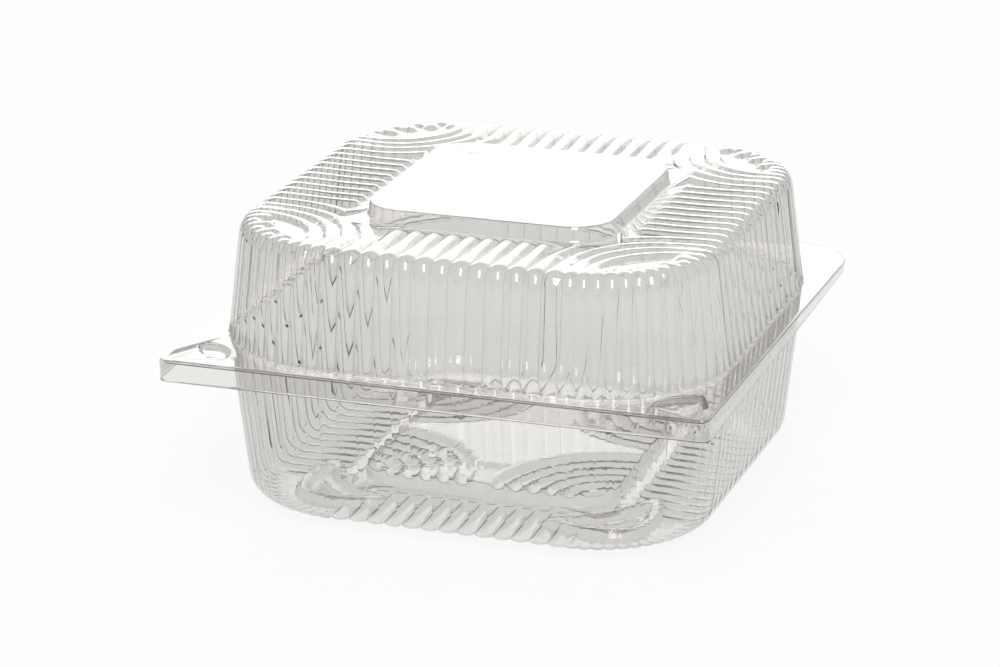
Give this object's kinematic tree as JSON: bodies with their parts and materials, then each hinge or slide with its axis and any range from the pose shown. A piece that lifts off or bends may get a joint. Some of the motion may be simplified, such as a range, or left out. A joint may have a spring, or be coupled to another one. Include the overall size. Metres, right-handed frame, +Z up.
{
  "type": "plastic clamshell pack",
  "caption": "Clear square clamshell food pack with ribbed walls, a raised stacking pad on the hinged lid, a stepped tray floor with feet, and corner locks on the rim.",
  "frame": {"origin": "middle of the footprint, on the surface that the feet stand on", "axes": "+Z up, -Y is the front with the two corner locks, +Y is the hinge edge, +X is right seen from the front"},
  "size_m": [0.152, 0.152, 0.0814],
  "materials": {
    "clear_sheet": "clear gloss"
  },
  "bodies": {
    "tray": {"base_tray": "clear_sheet"},
    "lid": {"lid": "clear_sheet"}
  },
  "joints": [
    {"name": "lid_hinge", "type": "hinge", "parent": "tray", "child": "lid", "pos_m": [0, 0.076, 0.04665], "axis": [-1, 0, 0], "range_deg": [0, 180]}
  ]
}
